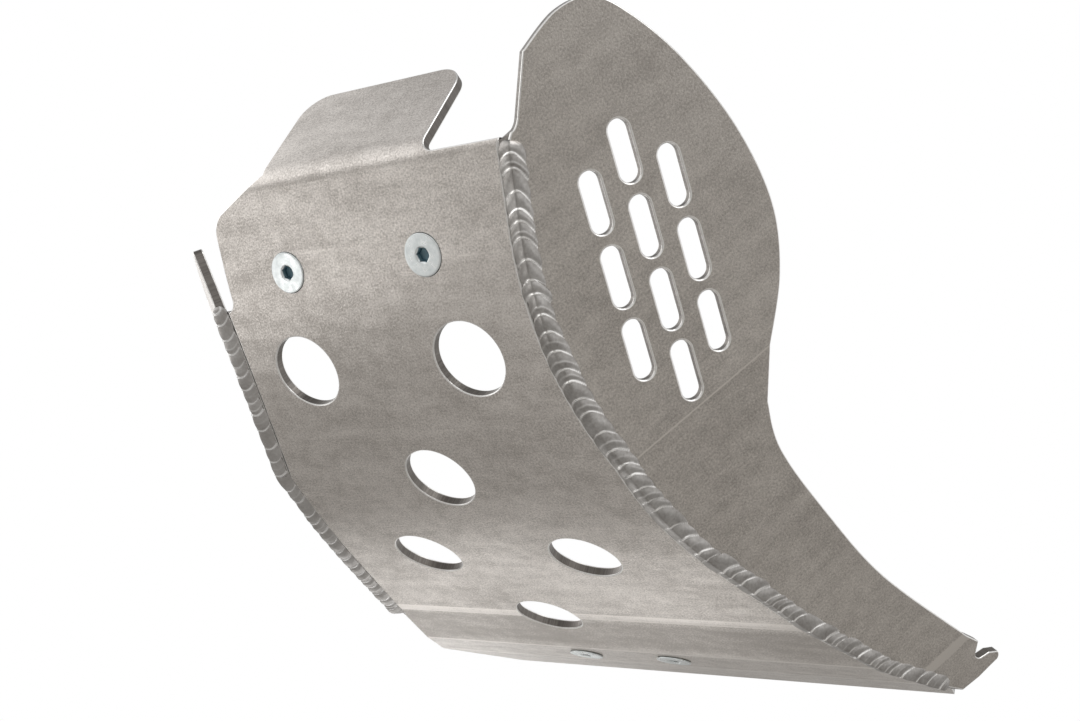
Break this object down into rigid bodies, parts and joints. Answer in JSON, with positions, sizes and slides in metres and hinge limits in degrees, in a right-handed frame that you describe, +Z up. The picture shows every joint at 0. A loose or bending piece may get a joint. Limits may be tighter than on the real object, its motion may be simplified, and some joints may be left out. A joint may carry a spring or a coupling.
{
  "type": "motorcycle skid plate",
  "caption": "Folded aluminium centre plate with two welded flared side wings, lightening holes, cooling slots and countersunk screws, that guards an off-road motorcycle's engine.",
  "frame": {"origin": "on the underside, in the middle of the flat bottom's length, midway between the pairs of screws", "axes": "+Z up, -Y to the front of the motorcycle, +X to the motorcycle's left-hand side, where the taller wing is"},
  "size_m": [0.2923, 0.3145, 0.2022],
  "materials": {
    "aluminium_sheet": "satin mill finish, lightly handled",
    "weld_metal": "rippled weld bead",
    "zinc_plated_steel": "bright zinc plate"
  },
  "bodies": {
    "root": {"centre_plate": "aluminium_sheet", "left_wing": "aluminium_sheet", "right_wing": "aluminium_sheet", "left_weld_bead": "weld_metal", "right_weld_bead": "weld_metal", "front_screws": "zinc_plated_steel", "lower_screws": "zinc_plated_steel"}
  },
  "joints": []
}
